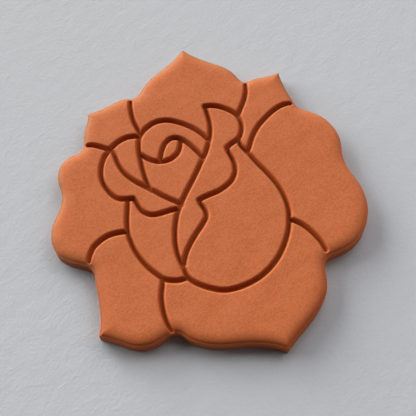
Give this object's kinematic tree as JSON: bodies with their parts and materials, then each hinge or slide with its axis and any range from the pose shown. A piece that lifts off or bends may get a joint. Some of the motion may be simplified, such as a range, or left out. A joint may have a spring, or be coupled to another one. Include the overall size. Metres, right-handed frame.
{
  "type": "stamped clay rose cutout",
  "caption": "Flat rose-shaped slab of terracotta clay with pressed petal lines, a cushioned border and a narrow creased rim along its cut edge.",
  "frame": {"origin": "centre of the outline's box, on the flat back", "axes": "+Z out of the pressed face, +Y towards the top petal tip, +X to the right as the rose is seen from the front"},
  "size_m": [0.0598, 0.064, 0.0035],
  "materials": {
    "terracotta_clay": "matte, fine grained"
  },
  "bodies": {
    "root": {"clay_rose": "terracotta_clay"}
  },
  "joints": []
}
